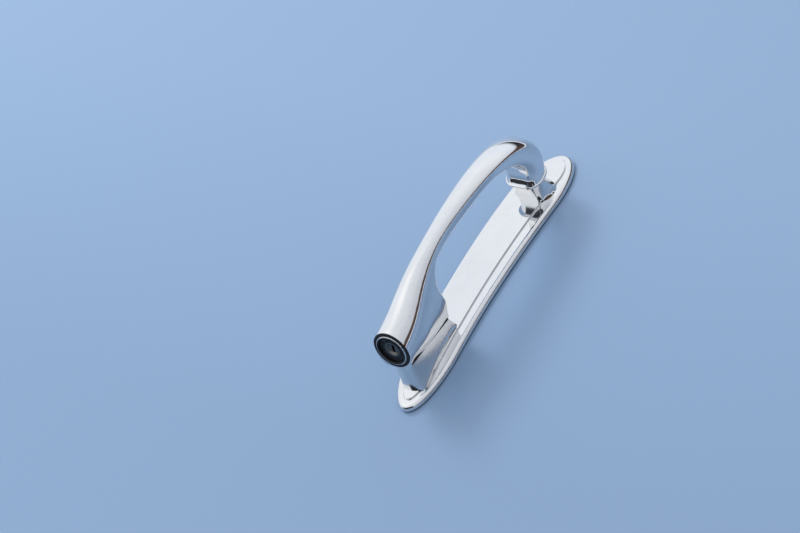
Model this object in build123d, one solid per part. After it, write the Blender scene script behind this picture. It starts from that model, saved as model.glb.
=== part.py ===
"""Chrome boot-lid grip handle with a push-button lock in its end, in millimetres.

The origin is the middle of the gasket's underside, where it lies on the curved lid.
+Z points out of the lid, +Y towards the slim upper foot, -Y towards the lock.
"""

from build123d import *
import math
import os

# Boot lid under the handle, curved along the handle
lid_radius = 492.0

# Base plate
plate_length = 178.0
plate_near_half_width = 14.4
plate_far_half_width = 16.0
plate_near_end = 38.0
plate_far_end = 37.0
plate_thickness = 3.0
plate_edge_round = 2.6
gasket_thickness = 0.9
gasket_setback = 0.3
rim_end_width = 4.2
pad_near_half_width = 8.6
pad_far_half_width = 9.2
pad_near_end = 30.0
pad_far_end = 16.0
pad_height = 0.9
groove_width = 0.7
groove_depth = 0.6

# Lock pedestal, cast in one with the plate
pedestal_overhang = 2.7
pedestal_setback = 1.2
pedestal_toe = 3.4
pedestal_half_width = 6.5
pedestal_nose = 4.2
pedestal_flare = 1.8
pedestal_waist = 0.5
pedestal_rake = 1.4
pedestal_corner = 2.0
seat_rear_z = 16.6
seat_front_z = 11.5
seat_pad_thickness = 0.5
seat_cut = 0.6

# Upper foot
foot_end_gap = 30.8
foot_half_width = 10.6
foot_front = 9.1
foot_rear = 9.2
foot_rear_half_width = 4.6
foot_bulge = 2.3
ferrule_z = 13.0
ferrule_height = 1.6
ferrule_overhang = 0.7
boss_waist = 0.8
boss_flare = 2.0
boss_flare_height = 5.5
boss_rake = 3.0

# Lock barrel
barrel_radius = 11.1
barrel_end_gap = 12.3
barrel_length = 38.9
barrel_z = 28.6
face_tilt = 10.5
belly_lean = 2.0
belly_seat_rise = 1.0
belly_low_round = 7.0
belly_top_round = 9.0
hollow_turn = 0.3
hollow_drop = 3.0
hollow_end_slope = -0.05

# Strap
neck_length = 15.8
join_shoulder_z = 48.7
strap_wall = 4.1
strap_crown = 3.7
neck_half_width = 5.6
side_draft = 0.09
arch_z = 36.2
arch_lean = 50.0
arch_waist = 0.6
arch_crown = 4.4
arch_wall = 10.0
arch_low_half = 8.0
arch_bulge = 1.0
under_round = 1.2

# Lock
bezel_radius = 10.2
bezel_depth = 3.0
bezel_flange = 0.6
bezel_flange_margin = 0.1
button_radius = 9.3
button_clearance = 0.07
button_head = 4.0
button_stem_radius = 6.2
button_stem = 7.0
button_recess = 0.3
button_travel = 5.0
button_stop_gap = 0.5
button_trim_width = 0.75
button_trim_depth = 1.2
button_trim_proud = 0.5
button_ring_radii = (7.7, 6.3)
button_ring_width = 0.5
button_ring_depth = 0.4
plug_radius = 4.4
plug_clearance = 0.06
plug_length = 9.0
plug_dish_radius = 3.7
plug_dish_depth = 1.1
plug_dish_floor = 2.6
key_slot_length = 5.0
key_slot_width = 1.6
key_slot_depth = 6.0

# Fixings under the lid
stud_radius = 3.0
stud_shank_radius = 2.5
stud_reach = 25.0
stud_chamfer = 0.6
stud_shank_depth = 8.0
stud_relief = 8.0
stud_clearance = 0.05
rear_stud_setback = 9.0
plunger_radius = 2.4
plunger_clearance = 0.06
plunger_inset = 11.7
plunger_reach = 14.0
plunger_seat_depth = 12.0
gasket_hole_clearance = 0.4

# Places along the handle and heights, worked out from the sizes above
barrel_y = barrel_end_gap - plate_length / 2
belly_y = barrel_y + barrel_length
join_y = belly_y + neck_length
foot_y = plate_length / 2 - foot_end_gap
pedestal_rear_y = barrel_y - pedestal_overhang
pedestal_front_y = belly_y - pedestal_setback
rear_stud_y = pedestal_front_y - rear_stud_setback
plunger_y = barrel_y + plunger_inset
plate_low = gasket_thickness
rim_top = plate_low + plate_thickness
pad_top = rim_top + pad_height


def lid_z(y):
    """Height of the lid's surface under the handle's middle line."""
    return math.sqrt(lid_radius**2 - y**2) - lid_radius


def seat_z(y):
    """Height of the pedestal's sloping top."""
    slope = (seat_front_z - seat_rear_z) / (pedestal_front_y - pedestal_rear_y)
    return seat_rear_z + slope * (y - pedestal_rear_y)


def boat_outline(half_length, near_half_width, near_end, far_half_width, far_end):
    """Long plan with a half ellipse at each end and smooth sides between them."""
    near_y, far_y = near_end - half_length, half_length - far_end
    edges = EllipticalCenterArc((0, near_y), near_half_width, near_end, start_angle=180, arc_size=180)
    edges += Spline((near_half_width, near_y), (far_half_width, far_y), tangents=((0, 1), (0, 1)))
    edges += EllipticalCenterArc((0, far_y), far_half_width, far_end, arc_size=180)
    edges += Spline((-far_half_width, far_y), (-near_half_width, near_y), tangents=((0, -1), (0, -1)))
    return make_face(edges)


def plate_outline(inset=0.0):
    return boat_outline(
        plate_length / 2 - inset,
        plate_near_half_width - inset, plate_near_end - inset,
        plate_far_half_width - inset, plate_far_end - inset,
    )


def pad_outline(inset=0.0):
    return boat_outline(
        plate_length / 2 - rim_end_width - inset,
        pad_near_half_width - inset, pad_near_end - inset,
        pad_far_half_width - inset, pad_far_end - inset,
    )


def lid_layer(outline, low, high):
    """Layer of even thickness that follows the lid, between two heights above it."""
    width = 4 * plate_far_half_width
    axis = Pos(0, 0, -lid_radius) * Rot(0, 90, 0)
    layer = axis * Cylinder(lid_radius + high, width) - axis * Cylinder(lid_radius + low, width)
    low_z, top_z = lid_z(plate_length / 2) - plate_thickness, pad_top + plate_thickness
    return Pos(0, 0, low_z) * extrude(outline, top_z - low_z) & layer


def side_plane(y, z, lean=0.0):
    """Section plane across the handle: its normal runs forward, dipping by lean degrees."""
    tilt = math.radians(lean)
    return Plane(origin=(0, y, z), x_dir=(-1, 0, 0), z_dir=(0, math.cos(tilt), -math.sin(tilt)))


def section(y, z, lean, half_width, crown, depth, low_half_width, bulge):
    """Crowned section about its shoulder line: half ellipse above, two sides and a flat below."""
    chord = math.hypot(half_width - low_half_width, depth)
    mid_u = (half_width + low_half_width) / 2 + bulge * depth / chord
    mid_v = -depth / 2 - bulge * (half_width - low_half_width) / chord
    top = ((-half_width, 0), (half_width, 0))
    low = ((-low_half_width, -depth), (low_half_width, -depth))
    edges = EllipticalCenterArc((0, 0), half_width, crown, arc_size=180)
    if bulge:
        edges += ThreePointArc(top[0], (-mid_u, mid_v), low[0])
        edges += Line(*low)
        edges += ThreePointArc(low[1], (mid_u, mid_v), top[1])
    else:
        edges += Polyline(top[0], low[0], low[1], top[1])
    return side_plane(y, z, lean) * make_face(edges)


def drafted(half_width, depth):
    return half_width - side_draft * depth


def finger_hollow():
    """Cutter for the hollow in front of the lock barrel, an S-shaped wall below the strap."""
    under_z = join_shoulder_z - strap_wall
    wall_y = belly_y + belly_lean
    wall_low = seat_z(belly_y) + seat_pad_thickness + belly_seat_rise
    wall = Spline(
        (belly_y, wall_low),
        (wall_y, wall_low + belly_low_round),
        (wall_y, under_z - belly_top_round),
        (wall_y + hollow_turn * (join_y - wall_y), under_z - hollow_drop),
        (join_y, under_z),
        tangents=((0, 1), (1, hollow_end_slope)),
    )
    edges = wall + Line((join_y, under_z), (join_y, 0))
    edges += Polyline((join_y, 0), (belly_y, 0), (belly_y, wall_low))
    return extrude(Plane.YZ * make_face(edges), 2 * barrel_radius, both=True)


def under_edges(body):
    """Side edges of the strap's underside and of the wall in front of the barrel."""
    under_z = join_shoulder_z - strap_wall
    margin = 0.1
    off_middle = 0.6 * neck_half_width
    picked = []
    for edge in body.edges():
        box = edge.bounding_box()
        along_strap = box.min.Y > join_y - margin and box.max.Z < under_z + strap_wall / 2
        in_hollow = belly_y - margin < box.min.Y and box.max.Y < join_y + margin
        along_wall = in_hollow and box.max.Z < under_z + margin
        long_enough = along_wall or along_strap and edge.length > foot_y - join_y
        if long_enough and abs((edge @ 0.5).X) > off_middle:
            picked.append(edge)
    return picked


def below_seat():
    """Everything under the barrel's flat seat."""
    places = (barrel_y - barrel_radius, belly_y + belly_lean)
    top = [(y, seat_z(y) + seat_pad_thickness) for y in places]
    low = [(y, lid_z(y) - plate_thickness) for y in reversed(places)]
    return extrude(Plane.YZ * make_face(Polyline(*top, *low, close=True)), 2 * barrel_radius, both=True)


def lock_plane(depth=0.0):
    """Plane of the lock's end face, its normal pointing out of the barrel, sunk by a depth."""
    tilt = math.radians(face_tilt)
    face = Plane(origin=(0, barrel_y, barrel_z), x_dir=(1, 0, 0), z_dir=(0, -math.cos(tilt), math.sin(tilt)))
    return face * Pos(0, 0, -depth)


def barrel_stations():
    """Shoulder line of the barrel and neck, rear to front: place, height, lean, half width and crown."""
    # share of the barrel's length, share of its rise, lean, half width and crown in barrel radii
    table = (
        (0.0, 0.0, face_tilt, 1.0, 1.0),
        (0.3, 0.127, 0, 0.97, 0.96),
        (0.61, 0.384, 0, 0.851, 0.873),
        (0.892, 0.651, 0, 0.711, 0.721),
        (1.175, 0.876, 0, 0.577, 0.5),
    )
    stations = []
    for along, rise, lean, half, crown in table:
        y = barrel_y + along * barrel_length
        z = barrel_z + rise * (join_shoulder_z - barrel_z)
        stations.append((y, z, lean, half * barrel_radius, crown * barrel_radius))
    return stations


def strap_stations():
    """Shoulder line of the strap from the join to the start of the arch."""
    # share of the span, share of the join's height, lean, share of the widening, crown in strap crowns
    table = (
        (0.0, 1.0, 0, 0.0, 1.09),
        (0.137, 1.021, 0, 0.02, 1.0),
        (0.337, 1.02, 0, 0.18, 1.0),
        (0.698, 0.955, 12, 0.52, 1.0),
    )
    stations = []
    for along, height, lean, widening, crown in table:
        y = join_y + along * (foot_y - join_y)
        half = neck_half_width + widening * (foot_half_width - neck_half_width)
        stations.append((y, height * join_shoulder_z, lean, half, crown * strap_crown))
    return stations


def barrel_sections():
    """Deep sections down past the seat, carried on past the join so that the strap flows from them."""
    # lower half width and side bulge, in barrel radii
    flanks = ((0.505, 0.2), (0.545, 0.165), (0.57, 0.125), (0.541, 0.085), (0.4, 0.03))
    sections = []
    for (y, z, lean, half, crown), (low_share, bulge_share) in zip(barrel_stations(), flanks):
        depth = z - seat_z(y) - seat_pad_thickness + seat_cut
        low, bulge = low_share * barrel_radius, bulge_share * barrel_radius
        sections.append(section(y, z, lean, half, crown, depth, low, bulge))
    for y, z, lean, half, crown in strap_stations()[:3]:
        depth = z - seat_z(belly_y)
        sections.append(section(y, z, lean, half, crown, depth, drafted(half, depth), 0))
    return sections


def strap_sections():
    """Sections one wall deep, from inside the barrel's neck over the arch and down into the upper foot."""
    stations = barrel_stations()[-1:] + strap_stations()
    # the station just past the join guides only the deep sections
    del stations[2]
    sections = []
    for y, z, lean, half, crown in stations:
        sections.append(section(y, z, lean, half, crown, strap_wall, drafted(half, strap_wall), 0))
    arch = (arch_lean, foot_half_width - arch_waist, arch_crown, arch_wall, arch_low_half, arch_bulge)
    sections.append(section(foot_y, arch_z, *arch))
    sections.append(foot_outline(ferrule_z + ferrule_height))
    return sections


def grip():
    """Strap that swells into the lock barrel, seated on the pedestal at its rear and on the ferrule."""
    join = Plane(origin=(0, join_y, 0), z_dir=(0, 1, 0))
    barrel = split(loft(barrel_sections()), join, Keep.BOTTOM) - finger_hollow() - below_seat()
    body = barrel + split(loft(strap_sections()), join, Keep.TOP)
    body = fillet(under_edges(body), under_round)
    head_depth = button_recess + button_head + button_travel + button_stop_gap
    stem_depth = head_depth + button_stem
    body -= lock_plane(bezel_depth) * extrude(Circle(bezel_radius), 2 * bezel_depth)
    body -= lock_plane(head_depth) * extrude(Circle(button_radius + button_clearance), head_depth)
    body -= lock_plane(stem_depth) * extrude(Circle(button_stem_radius + button_clearance), stem_depth)
    return body


def pedestal_outline(rear, front, half_width):
    """Pedestal plan on a ramp from a rear point to a front point, each (y, z): a round rear nose."""
    length = math.hypot(front[0] - rear[0], front[1] - rear[1])
    side_end = length - pedestal_corner
    front_end = half_width - pedestal_corner
    edges = EllipticalCenterArc((0, pedestal_nose), half_width, pedestal_nose, start_angle=180, arc_size=180)
    edges += Line((half_width, pedestal_nose), (half_width, side_end))
    edges += RadiusArc((half_width, side_end), (front_end, length), -pedestal_corner)
    edges += Line((front_end, length), (-front_end, length))
    edges += RadiusArc((-front_end, length), (-half_width, side_end), -pedestal_corner)
    edges += Line((-half_width, side_end), (-half_width, pedestal_nose))
    rise = (front[1] - rear[1]) / length
    run = (front[0] - rear[0]) / length
    ramp = Plane(origin=(0, *rear), x_dir=(1, 0, 0), z_dir=(0, -rise, run))
    return ramp * make_face(edges)


def pedestal():
    """Cast pedestal under the lock barrel, with hollowed flanks and a sloping toe."""
    foot_lift = (rim_top + plate_low) / 2
    low = [(y, lid_z(y) + foot_lift) for y in (pedestal_rear_y, pedestal_front_y + pedestal_toe)]
    top = [(y, seat_z(y)) for y in (pedestal_rear_y + pedestal_rake, pedestal_front_y)]
    middle = [((a[0] + b[0]) / 2, (a[1] + b[1]) / 2) for a, b in zip(low, top)]
    return loft([
        pedestal_outline(*low, pedestal_half_width + pedestal_flare),
        pedestal_outline(*middle, pedestal_half_width - pedestal_waist),
        pedestal_outline(*top, pedestal_half_width),
    ])


def foot_outline(z, grow=0.0, rake=0.0):
    """Plan of the upper foot at a height: round in front, blunt behind, its rear drawn in by a rake."""
    half, rear_half = foot_half_width + grow, foot_rear_half_width + grow
    front, rear = foot_front + grow, foot_rear + grow - rake
    return section(foot_y, z, 90, half, front, rear, rear_half, foot_bulge)


def foot_boss():
    """Waisted boss under the upper foot."""
    low = lid_z(foot_y) + (rim_top + plate_low) / 2
    return loft([
        foot_outline(low, boss_flare, boss_rake),
        foot_outline(low + boss_flare_height, -boss_waist, boss_rake / 2),
        foot_outline(ferrule_z, -boss_waist),
    ])


def base_plate():
    """Plate with a bullnose rim, a groove and a raised pad, with its pedestal and foot boss."""
    plate = lid_layer(plate_outline(), plate_low, rim_top)
    plate = fillet(plate.faces().sort_by(Axis.Z)[-1].edges(), plate_edge_round)
    plate -= lid_layer(pad_outline(), rim_top - groove_depth, pad_top)
    plate += lid_layer(pad_outline(groove_width), rim_top - groove_depth, pad_top)
    plate += pedestal()
    plate += foot_boss()
    for y in (rear_stud_y, foot_y):
        plate -= bore(y, stud_shank_radius + stud_clearance, stud_shank_depth)
    plate -= bore(plunger_y, plunger_radius + plunger_clearance, plunger_seat_depth)
    return plate


def bore(y, radius, depth):
    """Vertical bore up through the base at y, ending at a depth above the lid."""
    return Pos(0, y, lid_z(y) - depth) * extrude(Circle(radius), 2 * depth)


def gasket():
    pad = lid_layer(plate_outline(gasket_setback), 0, gasket_thickness)
    for y in (rear_stud_y, foot_y):
        pad -= bore(y, stud_shank_radius + gasket_hole_clearance, 2 * gasket_thickness)
    return pad - bore(plunger_y, plunger_radius + gasket_hole_clearance, 2 * gasket_thickness)


def seat_pad():
    """Thin packing between the pedestal and the barrel's flat underside."""
    top = [(y, seat_z(y)) for y in (pedestal_rear_y + pedestal_rake, pedestal_front_y)]
    outline = pedestal_outline(*top, pedestal_half_width)
    return extrude(outline, seat_pad_thickness, dir=(0, 0, 1))


def ferrule():
    edge_round = 0.4 * ferrule_height
    band = extrude(foot_outline(ferrule_z, ferrule_overhang), ferrule_height, dir=(0, 0, 1))
    return fillet(band.edges(), edge_round)


def lock_bezel():
    """Black cap ring: a sleeve in the barrel's counterbore and a rounded flange over its end."""
    flange_radius = barrel_radius - bezel_flange_margin
    edge_round = 0.8 * bezel_flange
    ring = extrude(Circle(bezel_radius), bezel_depth)
    ring += Pos(0, 0, bezel_depth) * extrude(Circle(flange_radius), bezel_flange)
    ring = fillet(ring.edges().group_by(Axis.Z)[-1], edge_round)
    ring -= extrude(Circle(button_radius + button_clearance), bezel_depth + bezel_flange)
    return lock_plane(bezel_depth) * ring


def push_button():
    """Ringed push button on a stem, rebated for its bright trim and bored for the key plug."""
    length = button_stem + button_head
    button = extrude(Circle(button_stem_radius), button_stem)
    button += Pos(0, 0, button_stem) * extrude(Circle(button_radius), button_head)
    rebate = Circle(button_radius) - Circle(button_radius - button_trim_width)
    button -= Pos(0, 0, length - button_trim_depth) * extrude(rebate, button_trim_depth)
    for radius in button_ring_radii:
        ring = Circle(radius) - Circle(radius - button_ring_width)
        button -= Pos(0, 0, length - button_ring_depth) * extrude(ring, button_ring_depth)
    button -= Pos(0, 0, length - plug_length) * extrude(Circle(plug_radius + plug_clearance), plug_length)
    return lock_plane(button_recess + length) * button


def button_trim():
    """Bright ring round the button's edge, standing proud of its face."""
    height = button_trim_depth + button_trim_proud
    edge_round = 0.45 * button_trim_width
    ring = extrude(Circle(button_radius) - Circle(button_radius - button_trim_width), height)
    ring = fillet(ring.edges().group_by(Axis.Z)[-1], edge_round)
    return lock_plane(button_recess + button_trim_depth) * ring


def key_plug():
    """Turning plug with a dished face and a key slot."""
    plug = extrude(Circle(plug_radius), plug_length)
    dish = loft([
        Pos(0, 0, plug_length - plug_dish_depth) * Circle(plug_dish_floor),
        Pos(0, 0, plug_length) * Circle(plug_dish_radius),
    ])
    plug -= dish
    slot_low = plug_length - plug_dish_depth - key_slot_depth
    plug -= Pos(0, 0, slot_low) * extrude(Rectangle(key_slot_width, key_slot_length), plug_length)
    return lock_plane(button_recess + plug_length) * plug


def stud(y):
    """Stud under a foot: its threaded part starts a relief below the lid's surface."""
    thread_top = lid_z(abs(y) + stud_relief)
    thread = Pos(0, y, -stud_reach) * extrude(Circle(stud_radius), stud_reach + thread_top)
    thread = chamfer(thread.edges().group_by(Axis.Z)[0], stud_chamfer)
    shank_top = lid_z(y) + stud_shank_depth
    return thread + Pos(0, y, thread_top) * extrude(Circle(stud_shank_radius), shank_top - thread_top)


def release_plunger():
    top = lid_z(plunger_y) + plunger_seat_depth
    rod = extrude(Circle(plunger_radius), plunger_reach + top)
    rod = fillet(rod.edges().group_by(Axis.Z)[0], plunger_radius / 2)
    return Pos(0, plunger_y, -plunger_reach) * rod


def build():
    return {
        "gasket": gasket(),
        "base_plate": base_plate(),
        "seat_pad": seat_pad(),
        "ferrule": ferrule(),
        "grip": grip(),
        "lock_bezel": lock_bezel(),
        "push_button": push_button(),
        "button_trim": button_trim(),
        "key_plug": key_plug(),
        "front_stud": stud(foot_y),
        "rear_stud": stud(rear_stud_y),
        "release_plunger": release_plunger(),
    }


if __name__ == "__main__":
    os.makedirs("parts", exist_ok=True)
    for node, shape in build().items():
        export_step(shape, f"parts/{node}.step")
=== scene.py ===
"""Looks of the chrome boot-lid handle: polished chrome, a ringed black lock whose rim and inner ring lip
carry painted dark reflection, a pale curved lid under it.

Everything is in metres, in the part's own frame: +Z out of the lid, +Y towards the slim upper foot.
"""

import math
import bmesh
import bpy
from mathutils import Matrix, Vector


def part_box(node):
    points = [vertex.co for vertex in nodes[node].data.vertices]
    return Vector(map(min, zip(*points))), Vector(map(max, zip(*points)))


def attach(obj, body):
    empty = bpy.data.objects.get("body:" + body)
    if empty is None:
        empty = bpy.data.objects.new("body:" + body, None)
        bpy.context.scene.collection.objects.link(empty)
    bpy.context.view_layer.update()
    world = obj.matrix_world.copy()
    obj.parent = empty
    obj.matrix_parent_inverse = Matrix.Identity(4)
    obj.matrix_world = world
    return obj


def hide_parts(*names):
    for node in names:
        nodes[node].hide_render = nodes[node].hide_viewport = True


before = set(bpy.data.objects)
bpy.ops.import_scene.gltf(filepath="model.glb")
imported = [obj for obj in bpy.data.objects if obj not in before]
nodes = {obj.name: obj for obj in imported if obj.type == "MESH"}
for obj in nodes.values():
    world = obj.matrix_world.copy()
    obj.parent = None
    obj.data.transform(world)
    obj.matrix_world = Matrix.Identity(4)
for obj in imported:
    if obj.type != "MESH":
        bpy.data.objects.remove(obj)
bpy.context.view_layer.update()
scene = bpy.context.scene

# Camera, fitted to the photograph's frame of 800 by 533: its place, its right and up, and its lens in mm
CAMERA_PLACE = Vector((0.9795, -0.7980, 1.2024))
CAMERA_RIGHT = Vector((0.79443, 0.49072, -0.35787))
CAMERA_UP = Vector((-0.17345, 0.74800, 0.64064))
CAMERA_LENS = 149.48
SENSOR_WIDTH = 36.0

# Lamp, which aims at the handle's middle
KEY_PLACE = Vector((-1.1, 0.5, 1.2))
KEY_SIZE = 0.45
KEY_POWER = 10

# Lid under the handle: round up to one distance from its middle, and level from another on
LID_RADIUS = 0.492
LID_CURVED_TO = 0.11
LID_FLAT_FROM = 0.45
LID_HALF_WIDTH = 4.0
LID_STEP = 0.005
LID_COLOUR = (0.25, 0.38, 0.57)
LID_ROUGHNESS = 0.3

# Pale sky: its colours, and the spans of a direction's parts or of the cloud's noise over which they blend
LOW_SKY = (0.86, 0.95, 1.08)
HIGH_SKY = (1.12, 1.13, 1.15)
SKY_SHADE = (0.95, 0.99, 1.06)
DIM_SKY = (0.60, 0.63, 0.70)
HEIGHT_SPAN = (0.1, 0.8)
CLOUD_SCALE = 1.6
CLOUD_SPAN = (0.35, 0.62)
DIM_SPAN = (-0.4, 1.0)
HORIZON_SPAN = (0.05, 0.02)

# Dark band low down: its top, as the upward part of a direction, and how it rises across, ahead and behind
BAND_TOP = 0.04
BAND_SOFTNESS = 0.05
RISE_ACROSS = 0.29
RISE_AHEAD = 0.28
RISE_BEHIND = 0.75
AHEAD_SPAN = (0.3, 1.0)
BEHIND_SPAN = (-0.3, -1.0)
BEHIND_FADE = (0.55, 0.3)

# The band's colours: it turns brown towards +X, and sooner where that leans to +Y
BAND_GREY = (0.032, 0.034, 0.042)
BAND_BROWN = (0.100, 0.066, 0.055)
WARM_LEAN = 0.6
WARM_SPAN = (0.35, 0.9)

# Lock's end face
LOCK_CENTRE = Vector((0, -0.0767, 0.0286))
LOCK_TILT = math.radians(10.5)

# Bright ring on the button and the lip inside it, black as painted dark reflection: radii, then heights from
# the lock's end face
RING_OUTER = 0.0093
RING_CREST = 0.0087
RING_FOOT_INNER = 0.00855
LIP_INNER = 0.0079
RING_FOOT = -0.0015
BUTTON_FACE = -0.0003
RING_SHOULDER = 0.0003
RING_CROWN = 0.00065
RING_SIDES = 96
CROWN_STEPS = 12

# Threads of the studs: steps to each pitch, sides to each turn, and the span of a half pitch that is flank
THREAD_PITCH = 0.001
THREAD_DEPTH = 0.00054
THREAD_STEPS = 8
THREAD_SIDES = 32
THREAD_FLANK = (0.12, 0.88)
STUD_CHAMFER = 0.0006

# Edges of the scene's own pieces that bend more than this stay sharp
SHARP_ANGLE = math.radians(40)

# Sloping line near the seam under the lock barrel: its fall towards +Y, and its height where y is 0
SEAM_LINE_FALL = 0.174
SEAM_LINE_LEVEL = 0.0043

# Roughness that chrome gains in its pits, and on hard-to-polish flanks over spans of height
PIT_ROUGHNESS = 0.12
DULL_FLANK = 0.13
PLATE_DULL_SPAN = (0.0062, 0.0085)
GRIP_DULL_SPAN = (0.006, 0.003)

# Colours of the finishes
CHROME = (0.80, 0.805, 0.81)
BEZEL_CHROME = (0.60, 0.60, 0.59)
RUBBER = (0.020, 0.020, 0.022)
# Black of the push button, also used as painted dark reflection on the lock bezel and on the inner lip of
# its ring
BLACK_AND_PAINTED_DARK_REFLECTION = (0.012, 0.012, 0.014)
PLUG_STEEL = (0.15, 0.15, 0.145)
STUD_STEEL = (0.50, 0.49, 0.46)


def place_camera():
    """Camera at its place, square to its own right and up."""
    data = bpy.data.cameras.new("camera")
    data.lens = CAMERA_LENS
    data.sensor_width = SENSOR_WIDTH
    data.sensor_fit = "HORIZONTAL"
    camera = bpy.data.objects.new("camera", data)
    right = CAMERA_RIGHT.normalized()
    back = right.cross(CAMERA_UP).normalized()
    up = back.cross(right)
    turn = Matrix((right, up, back)).transposed().to_4x4()
    camera.matrix_world = Matrix.Translation(CAMERA_PLACE) @ turn
    scene.collection.objects.link(camera)
    scene.camera = camera


class NodeBuilder:
    """Shorthand for building the nodes of one material or world."""

    def __init__(self, owner):
        owner.use_nodes = True
        self.tree = owner.node_tree
        self.tree.nodes.clear()

    def add(self, kind, **settings):
        """Adds a node, each setting going to its input of that name or else to its property."""
        node = self.tree.nodes.new(kind)
        for name, value in settings.items():
            if name in node.inputs:
                node.inputs[name].default_value = value
            else:
                setattr(node, name, value)
        return node

    def link(self, source, target):
        self.tree.links.new(source, target)


def new_material(name, colour, metallic, roughness):
    """A material with its shader, ready for detail: (material, tree, shader)."""
    material = bpy.data.materials.new(name)
    tree = NodeBuilder(material)
    shader = tree.add("ShaderNodeBsdfPrincipled", Metallic=metallic, Roughness=roughness)
    shader.inputs["Base Color"].default_value = (*colour, 1)
    output = tree.add("ShaderNodeOutputMaterial")
    tree.link(shader.outputs["BSDF"], output.inputs["Surface"])
    return material, tree, shader


def noise(tree, scale, detail=3.0, stretch=None):
    """Noise in the part's own metres, a stretch slowing it along some axes."""
    place = tree.add("ShaderNodeTexCoord").outputs["Object"]
    if stretch:
        mapping = tree.add("ShaderNodeMapping")
        mapping.inputs["Scale"].default_value = stretch
        tree.link(place, mapping.inputs["Vector"])
        place = mapping.outputs["Vector"]
    texture = tree.add("ShaderNodeTexNoise", Scale=scale, Detail=detail)
    tree.link(place, texture.inputs["Vector"])
    return texture.outputs["Fac"]


def ramp(tree, factor, span, values=(0, 1)):
    """Maps a factor's span, from its first end to its second, to a pair of values."""
    node = tree.add("ShaderNodeMapRange")
    node.inputs["From Min"].default_value, node.inputs["From Max"].default_value = span
    node.inputs["To Min"].default_value, node.inputs["To Max"].default_value = values
    tree.link(factor, node.inputs["Value"])
    return node.outputs["Result"]


def calculate(tree, operation, first, second):
    """One sum on two values, each a number or a socket."""
    node = tree.add("ShaderNodeMath", operation=operation)
    for socket, value in zip(node.inputs, (first, second)):
        if isinstance(value, float):
            socket.default_value = value
        else:
            tree.link(value, socket)
    return node.outputs["Value"]


def blend_colours(tree, factor, first, second):
    """Mixes two colours, each a triple or a socket."""
    mix = tree.add("ShaderNodeMix", data_type="RGBA")
    for name, value in (("A", first), ("B", second)):
        if isinstance(value, tuple):
            mix.inputs[name].default_value = (*value, 1)
        else:
            tree.link(value, mix.inputs[name])
    tree.link(factor, mix.inputs["Factor"])
    return mix.outputs["Result"]


def bump(tree, height, strength, distance, shader):
    """Bumps the surface by a height, its distance in metres."""
    node = tree.add("ShaderNodeBump", Strength=strength, Distance=distance)
    tree.link(height, node.inputs["Height"])
    tree.link(node.outputs["Normal"], shader.inputs["Normal"])


def tint(tree, factor, dark, light, shader):
    """Colours the surface from dark to light by a factor."""
    tree.link(blend_colours(tree, factor, dark, light), shader.inputs["Base Color"])


def shade(colour, factor):
    """A colour made darker or lighter by a factor."""
    return tuple(channel * factor for channel in colour)


def height_over_lid(tree):
    """Height above the round lid, in metres."""
    mapping = tree.add("ShaderNodeMapping")
    mapping.inputs["Location"].default_value = (0, 0, LID_RADIUS)
    mapping.inputs["Scale"].default_value = (0, 1, 1)
    tree.link(tree.add("ShaderNodeTexCoord").outputs["Object"], mapping.inputs["Vector"])
    reach = tree.add("ShaderNodeVectorMath", operation="LENGTH")
    tree.link(mapping.outputs["Vector"], reach.inputs[0])
    return calculate(tree, "SUBTRACT", reach.outputs["Value"], LID_RADIUS)


def height_over_seam_line(tree):
    """Height above the sloping line near the seam under the lock barrel, in metres."""
    split = tree.add("ShaderNodeSeparateXYZ")
    tree.link(tree.add("ShaderNodeTexCoord").outputs["Object"], split.inputs["Vector"])
    fallen = calculate(tree, "MULTIPLY", split.outputs["Y"], SEAM_LINE_FALL)
    raised = calculate(tree, "ADD", split.outputs["Z"], fallen)
    return calculate(tree, "SUBTRACT", raised, SEAM_LINE_LEVEL)


def chrome_material(name, colour, height=None, dull_span=None):
    """Mirror chrome with a breath of haze, fine pits and hairline scratches.

    Over a span of a height it turns duller, on flanks that a polishing wheel can't reach.
    """
    material, tree, shader = new_material(name, colour, metallic=1.0, roughness=0.05)
    pits = ramp(tree, noise(tree, scale=1300.0, detail=1.0), span=(0.70, 0.78))
    haze = ramp(tree, noise(tree, scale=45.0, detail=4.0), span=(0.4, 0.75), values=(0.015, 0.05))
    roughness = calculate(tree, "ADD", haze, calculate(tree, "MULTIPLY", pits, PIT_ROUGHNESS))
    if height:
        dullness = ramp(tree, height(tree), dull_span, values=(0, DULL_FLANK))
        roughness = calculate(tree, "ADD", roughness, dullness)
    tree.link(roughness, shader.inputs["Roughness"])
    patches = ramp(tree, noise(tree, scale=120.0), span=(0.35, 0.65))
    tone = blend_colours(tree, patches, shade(colour, 0.97), colour)
    tree.link(blend_colours(tree, pits, tone, shade(colour, 0.7)), shader.inputs["Base Color"])
    hairlines = noise(tree, scale=900.0, detail=2.0, stretch=(6.0, 0.4, 1.0))
    bump(tree, hairlines, strength=0.04, distance=0.00002, shader=shader)
    return material


def rubber_material(name, colour):
    """Matt rubber with a fine grain and patches that are a little shinier."""
    material, tree, shader = new_material(name, colour, metallic=0.0, roughness=0.6)
    grain = noise(tree, scale=2500.0, detail=2.0)
    patches = ramp(tree, noise(tree, scale=90.0), span=(0.3, 0.7), values=(0.5, 0.75))
    tree.link(patches, shader.inputs["Roughness"])
    tint(tree, ramp(tree, grain, span=(0.4, 0.7)), colour, shade(colour, 2.2), shader)
    bump(tree, grain, strength=0.4, distance=0.0001, shader=shader)
    return material


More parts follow.
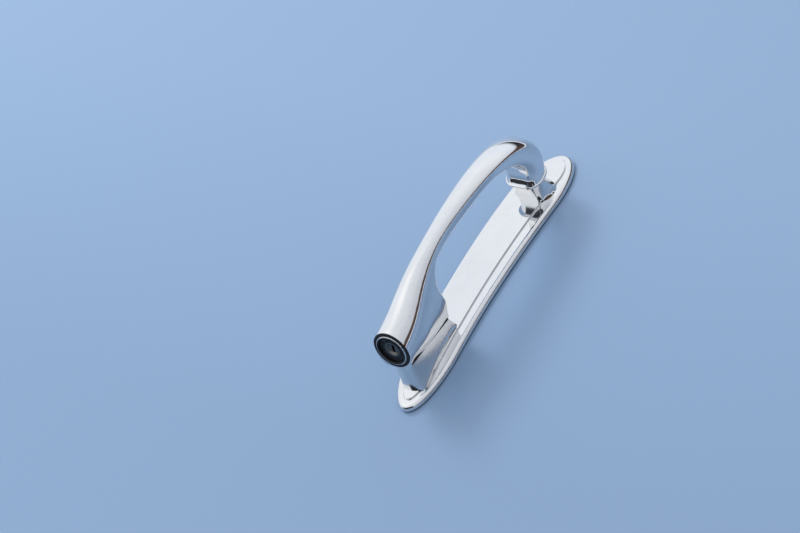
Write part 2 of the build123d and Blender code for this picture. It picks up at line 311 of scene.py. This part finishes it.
def black_material(name, colour):
    """Glossy black with a faint orange peel and dusty specks."""
    material, tree, shader = new_material(name, colour, metallic=0.0, roughness=0.15)
    shader.inputs["Specular IOR Level"].default_value = 0.18
    patches = ramp(tree, noise(tree, scale=400.0, detail=4.0), span=(0.4, 0.8), values=(0.1, 0.3))
    tree.link(patches, shader.inputs["Roughness"])
    tint(tree, ramp(tree, noise(tree, scale=900.0), span=(0.55, 0.8)), colour, shade(colour, 3), shader)
    bump(tree, noise(tree, scale=1500.0), strength=0.15, distance=0.00005, shader=shader)
    return material


def steel_material(name, colour):
    """Plated steel, brushed along Z, with darker patches."""
    material, tree, shader = new_material(name, colour, metallic=1.0, roughness=0.3)
    brushing = noise(tree, scale=1600.0, stretch=(1.0, 1.0, 0.05))
    tree.link(ramp(tree, brushing, span=(0.3, 0.7), values=(0.2, 0.42)), shader.inputs["Roughness"])
    patches = ramp(tree, noise(tree, scale=250.0), span=(0.4, 0.7))
    tint(tree, patches, shade(colour, 0.8), colour, shader)
    bump(tree, brushing, strength=0.15, distance=0.00005, shader=shader)
    return material


def dress(node, material):
    """Gives a CAD node its finish."""
    slots = nodes[node].material_slots
    if not slots:
        nodes[node].data.materials.append(material)
    for slot in slots:
        slot.material = material


def join_rings(form, rings):
    """Faces between rings of corners."""
    for lower, upper in zip(rings, rings[1:]):
        for side, corner in enumerate(lower):
            after = (side + 1) % len(lower)
            form.faces.new((corner, lower[after], upper[after], upper[side]))


def add_piece(name, form, material, body, node=None):
    """Turns a finished form into a piece, which may stand for a node."""
    for face in form.faces:
        face.smooth = True
    bmesh.ops.recalc_face_normals(form, faces=form.faces)
    mesh = bpy.data.meshes.new(name)
    form.to_mesh(mesh)
    form.free()
    mesh.set_sharp_from_angle(angle=SHARP_ANGLE)
    mesh.materials.append(material)
    piece = bpy.data.objects.new(name, mesh)
    scene.collection.objects.link(piece)
    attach(piece, body)
    if node:
        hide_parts(node)


def turned_form(profile):
    """Closed profile of radii and heights, turned round the lock's axis."""
    out = Vector((0, -math.cos(LOCK_TILT), math.sin(LOCK_TILT)))
    up = Vector((0, math.sin(LOCK_TILT), math.cos(LOCK_TILT)))
    right = Vector((1, 0, 0))
    angles = [2 * math.pi * side / RING_SIDES for side in range(RING_SIDES)]
    form = bmesh.new()
    rings = []
    for radius, height in profile:
        around = [(right * math.cos(angle) + up * math.sin(angle)) * radius for angle in angles]
        rings.append([form.verts.new(LOCK_CENTRE + out * height + place) for place in around])
    join_rings(form, rings + rings[:1])
    return form


def crown(reach):
    """Quarter round, as radii and heights, from a shoulder that is a reach away up to the crest."""
    angles = [math.pi / 2 * step / CROWN_STEPS for step in range(CROWN_STEPS + 1)]
    quarter = [(reach * math.cos(angle), RING_CROWN * math.sin(angle)) for angle in angles]
    return [(RING_CREST + outwards, RING_SHOULDER + upwards) for outwards, upwards in quarter]


def make_button_rings():
    """Bright ring on the button, a little higher than the rim outside it, and its lip inside; rim and lip
    are black as painted dark reflection.
    """
    bright = [(RING_FOOT_INNER, RING_FOOT), (RING_OUTER, RING_FOOT)]
    bright += crown(RING_OUTER - RING_CREST)
    bright += [(RING_CREST, BUTTON_FACE), (RING_FOOT_INNER, BUTTON_FACE)]
    add_piece("button_trim_ring", turned_form(bright), bezel_chrome, "button", "button_trim")
    # Inner half of the crown, black: painted dark reflection that hides the highlight its lower side would
    # catch
    lip = crown(LIP_INNER - RING_CREST) + [(RING_CREST, BUTTON_FACE), (LIP_INNER, BUTTON_FACE)]
    add_piece("button_lip_painted_dark", turned_form(lip), black, "button")


def thread_radius(height, turn, outer, low, top):
    """Radius of a stud's thread at a height and a part of a turn, run out to the root at both ends."""
    ridge = abs(2 * ((height / THREAD_PITCH - turn) % 1) - 1)
    flank = (ridge - THREAD_FLANK[0]) / (THREAD_FLANK[1] - THREAD_FLANK[0])
    root = outer - THREAD_DEPTH
    radius = root + THREAD_DEPTH * min(1, max(0, flank))
    radius = min(radius, outer - STUD_CHAMFER + height - low)
    return max(min(radius, root + top - height), min(root, radius))


def make_stud(node):
    """Threaded stud in place of a plain one, with its shank, its thread and its chamfered end."""
    low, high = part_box(node)
    middle = (low + high) / 2
    outer = (high.x - low.x) / 2
    corners = [(math.hypot(v.co.x - middle.x, v.co.y - middle.y), v.co.z) for v in nodes[node].data.vertices]
    thread_top = max(height for radius, height in corners if radius > outer - THREAD_DEPTH / 2)
    shank = max(radius for radius, height in corners if height > thread_top + THREAD_PITCH)
    count = round((thread_top - low.z) / THREAD_PITCH * THREAD_STEPS)
    heights = [low.z + (thread_top - low.z) * step / count for step in range(count + 1)]
    turns = [side / THREAD_SIDES for side in range(THREAD_SIDES)]
    levels = [(z, [thread_radius(z, turn, outer, low.z, thread_top) for turn in turns]) for z in heights]
    levels += [(z, [shank] * THREAD_SIDES) for z in (thread_top, high.z)]
    form = bmesh.new()
    rings = []
    for z, radii in levels:
        ring = []
        for radius, turn in zip(radii, turns):
            angle = 2 * math.pi * turn
            x = middle.x + radius * math.cos(angle)
            y = middle.y + radius * math.sin(angle)
            ring.append(form.verts.new((x, y, z)))
        rings.append(ring)
    join_rings(form, rings)
    form.faces.new(rings[0])
    form.faces.new(rings[-1])
    add_piece(node + "_thread", form, stud_steel, "handle", node)


def lid_slope(distance):
    """Slope of the lid at a distance from the handle's middle: round under it, easing out to level."""
    if distance <= LID_CURVED_TO:
        return distance / math.sqrt(LID_RADIUS**2 - distance**2)
    left = max(0.0, (LID_FLAT_FROM - distance) / (LID_FLAT_FROM - LID_CURVED_TO))
    return lid_slope(LID_CURVED_TO) * left * left * (3 - 2 * left)


def lid_profile():
    """Places along the lid and their heights, from the middle out."""
    profile = [(0.0, 0.0)]
    while profile[-1][0] < LID_FLAT_FROM:
        along, height = profile[-1]
        height -= lid_slope(along + LID_STEP / 2) * LID_STEP
        profile.append((along + LID_STEP, height))
    profile.append((LID_HALF_WIDTH, profile[-1][1]))
    return profile


def make_lid():
    """Pale lid that the handle lies on, part of the studio."""
    half = lid_profile()
    line = [(-along, height) for along, height in reversed(half[1:])] + half
    mesh = bpy.data.meshes.new("lid")
    form = bmesh.new()
    rows = [[form.verts.new((x, y, z)) for x in (-LID_HALF_WIDTH, LID_HALF_WIDTH)] for y, z in line]
    for low, high in zip(rows, rows[1:]):
        face = form.faces.new((low[0], low[1], high[1], high[0]))
        face.smooth = True
    form.to_mesh(mesh)
    form.free()
    lid = bpy.data.objects.new("lid", mesh)
    scene.collection.objects.link(lid)
    paint = new_material("lid_paint", LID_COLOUR, metallic=0.0, roughness=LID_ROUGHNESS)[0]
    mesh.materials.append(paint)


def band_top(tree, across, along):
    """Top of the dark band, which rises towards +X, +Y and -Y, the last of them fading out towards +X."""
    top = calculate(tree, "ADD", calculate(tree, "MULTIPLY", across, RISE_ACROSS), BAND_TOP)
    ahead = ramp(tree, along, AHEAD_SPAN, values=(0, RISE_AHEAD))
    behind = ramp(tree, along, BEHIND_SPAN, values=(0, RISE_BEHIND))
    behind = calculate(tree, "MULTIPLY", behind, ramp(tree, across, BEHIND_FADE))
    return calculate(tree, "ADD", calculate(tree, "ADD", top, ahead), behind)


def make_world():
    """Soft studio: a pale sky that dims towards +X, over a dark band with a pale strip at the horizon."""
    world = bpy.data.worlds.new("studio")
    scene.world = world
    tree = NodeBuilder(world)
    direction = tree.add("ShaderNodeTexCoord").outputs["Generated"]
    split = tree.add("ShaderNodeSeparateXYZ")
    tree.link(direction, split.inputs["Vector"])
    across, along, up = (split.outputs[axis] for axis in "XYZ")
    cloud = tree.add("ShaderNodeTexNoise", Scale=CLOUD_SCALE, Detail=1.0)
    tree.link(direction, cloud.inputs["Vector"])
    pale = blend_colours(tree, ramp(tree, up, HEIGHT_SPAN), LOW_SKY, HIGH_SKY)
    pale = blend_colours(tree, ramp(tree, cloud.outputs["Fac"], CLOUD_SPAN), SKY_SHADE, pale)
    pale = blend_colours(tree, ramp(tree, across, DIM_SPAN), pale, DIM_SKY)
    warm = calculate(tree, "ADD", across, calculate(tree, "MULTIPLY", along, WARM_LEAN))
    dark = blend_colours(tree, ramp(tree, warm, WARM_SPAN), BAND_GREY, BAND_BROWN)
    dark = blend_colours(tree, ramp(tree, up, HORIZON_SPAN), dark, LOW_SKY)
    above = calculate(tree, "SUBTRACT", up, band_top(tree, across, along))
    colour = blend_colours(tree, ramp(tree, above, (-BAND_SOFTNESS, BAND_SOFTNESS)), dark, pale)
    background = tree.add("ShaderNodeBackground", Strength=1.0)
    tree.link(colour, background.inputs["Color"])
    output = tree.add("ShaderNodeOutputWorld")
    tree.link(background.outputs["Background"], output.inputs["Surface"])


def add_softbox():
    """Lamp that lights the handle but leaves no hard-edged patch in the chrome."""
    data = bpy.data.lights.new("key_light", "AREA")
    data.shape = "SQUARE"
    data.size = KEY_SIZE
    data.energy = KEY_POWER
    light = bpy.data.objects.new("key_light", data)
    light.visible_glossy = False
    light.location = KEY_PLACE
    light.rotation_euler = (-KEY_PLACE).to_track_quat("-Z", "Y").to_euler()
    scene.collection.objects.link(light)


scene.view_settings.view_transform = "Standard"
place_camera()
make_world()
make_lid()
add_softbox()

chrome = chrome_material("chrome", CHROME)
plate_chrome = chrome_material("plate_chrome", CHROME, height_over_lid, PLATE_DULL_SPAN)
grip_chrome = chrome_material("grip_chrome", CHROME, height_over_seam_line, GRIP_DULL_SPAN)
bezel_chrome = chrome_material("bezel_chrome", BEZEL_CHROME)
rubber = rubber_material("gasket_rubber", RUBBER)
black = black_material("button_black", BLACK_AND_PAINTED_DARK_REFLECTION)
plug_steel = steel_material("plug_steel", PLUG_STEEL)
stud_steel = steel_material("stud_steel", STUD_STEEL)
dress("ferrule", chrome)
dress("base_plate", plate_chrome)
dress("grip", grip_chrome)
for node in ("gasket", "seat_pad"):
    dress(node, rubber)
# The lock bezel's black is painted dark reflection, standing in for a chrome rim that reflects dark; the
# push button's face is black itself
for node in ("lock_bezel", "push_button"):
    dress(node, black)
dress("key_plug", plug_steel)
dress("release_plunger", stud_steel)
make_button_rings()
for node in ("front_stud", "rear_stud"):
    make_stud(node)
